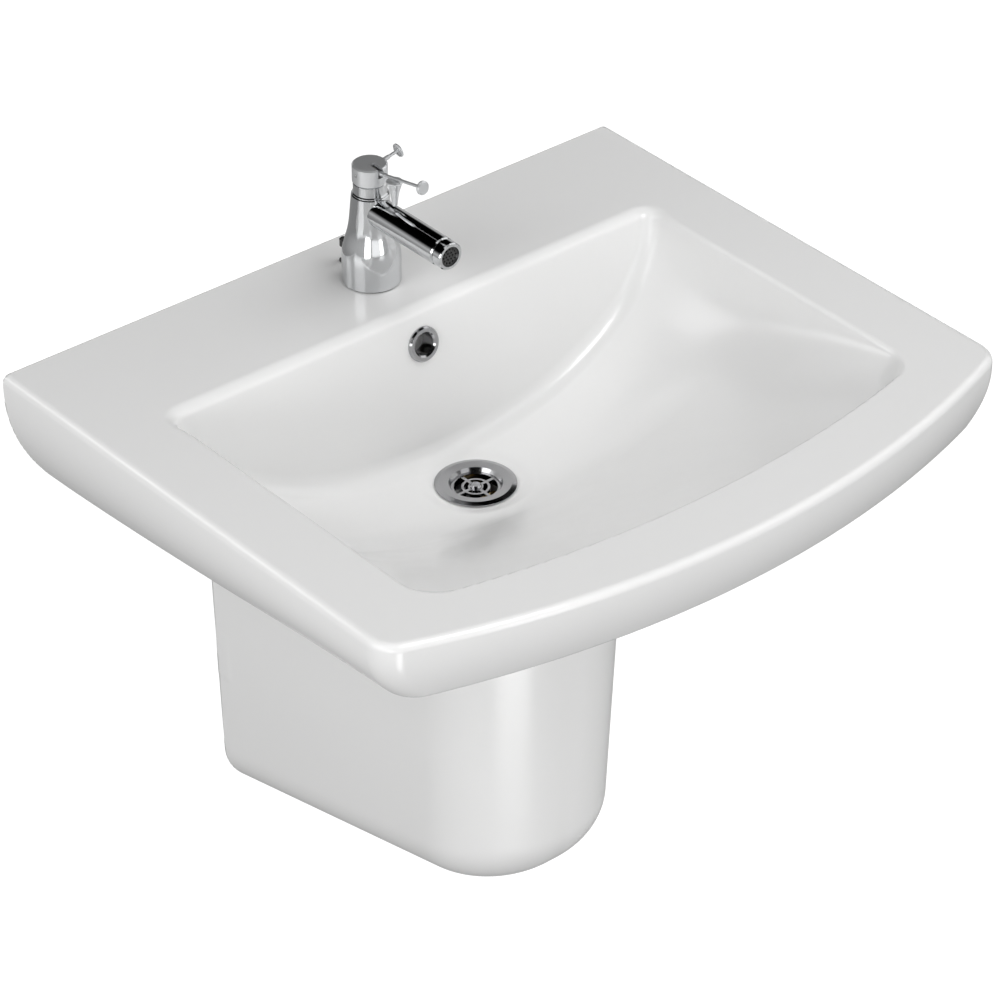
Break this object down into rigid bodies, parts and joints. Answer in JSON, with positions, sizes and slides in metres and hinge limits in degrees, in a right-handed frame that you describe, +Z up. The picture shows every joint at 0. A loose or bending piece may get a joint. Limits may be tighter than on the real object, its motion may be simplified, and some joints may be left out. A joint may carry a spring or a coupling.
{
  "type": "wall-hung basin with semi-pedestal",
  "caption": "Wall-hung ceramic basin with a scooped bowl, a half-height pedestal shroud and a single-lever tap that lifts for flow and turns for temperature.",
  "frame": {"origin": "midway between the two wall studs of the basin, on the wall surface", "axes": "+Z up, +Y into the wall, +X along the wall to the right of a person using the basin"},
  "size_m": [0.606, 0.577, 0.6112],
  "materials": {
    "glazed_ceramic": "white gloss glaze",
    "chrome": "polished",
    "satin_chrome": "satin",
    "black_plastic": "moulded",
    "steel": "zinc plated",
    "brass": "turned",
    "rubber": "matte black",
    "white_plastic": "moulded polypropylene",
    "grey_plastic": "moulded",
    "disc_ceramic": "ground"
  },
  "bodies": {
    "fixed": {"aerator_housing": "chrome", "aerator_insert": "black_plastic", "aerator_seal": "rubber", "basin": "glazed_ceramic", "basin_stud_nuts": "steel", "basin_stud_sleeves": "white_plastic", "basin_stud_washers": "steel", "basin_wall_studs": "steel", "cartridge_body": "grey_plastic", "cartridge_nut": "chrome", "ceramic_disc_fixed": "disc_ceramic", "chain_stay": "black_plastic", "cold_tail": "brass", "hot_tail": "brass", "overflow_ring": "chrome", "pedestal_nuts": "steel", "pedestal_studs": "steel", "pedestal_washers": "steel", "semi_pedestal": "glazed_ceramic", "tailpiece": "chrome", "tap_base_seal": "rubber", "tap_body": "chrome", "tap_metal_washer": "steel", "tap_nut": "brass", "tap_rubber_washer": "rubber", "tap_spout": "chrome", "tap_stud": "steel", "trap_body": "white_plastic", "trap_cup": "white_plastic", "trap_cup_seal": "rubber", "trap_inlet_nut": "white_plastic", "trap_inlet_seal": "rubber", "trap_outlet_nut": "white_plastic", "trap_outlet_pipe": "white_plastic", "trap_outlet_seal": "rubber", "wall_rosette": "chrome", "waste_backnut": "brass", "waste_body": "chrome", "waste_bridge": "brass", "waste_coupling_nut": "chrome", "waste_grid": "chrome", "waste_lower_seal": "rubber", "waste_screw": "chrome", "waste_top_seal": "rubber"},
    "head": {"head_cap": "satin_chrome", "grub_screw": "steel", "lever_pivot_pin": "steel", "side_pin": "satin_chrome", "side_disc": "satin_chrome", "cartridge_stem": "brass", "ceramic_disc_moving": "disc_ceramic"},
    "lever": {"lever_arm": "satin_chrome", "lever_disc": "satin_chrome", "lever_grip": "satin_chrome"}
  },
  "joints": [
    {"name": "temperature", "type": "hinge", "parent": "fixed", "child": "head", "pos_m": [0, -0.0685, 0.18], "axis": [0, 0, 1], "range_deg": [-45, 45]},
    {"name": "flow", "type": "hinge", "parent": "head", "child": "lever", "pos_m": [0, -0.0685, 0.1874], "axis": [-1, 0, 0], "range_deg": [0, 20]}
  ]
}
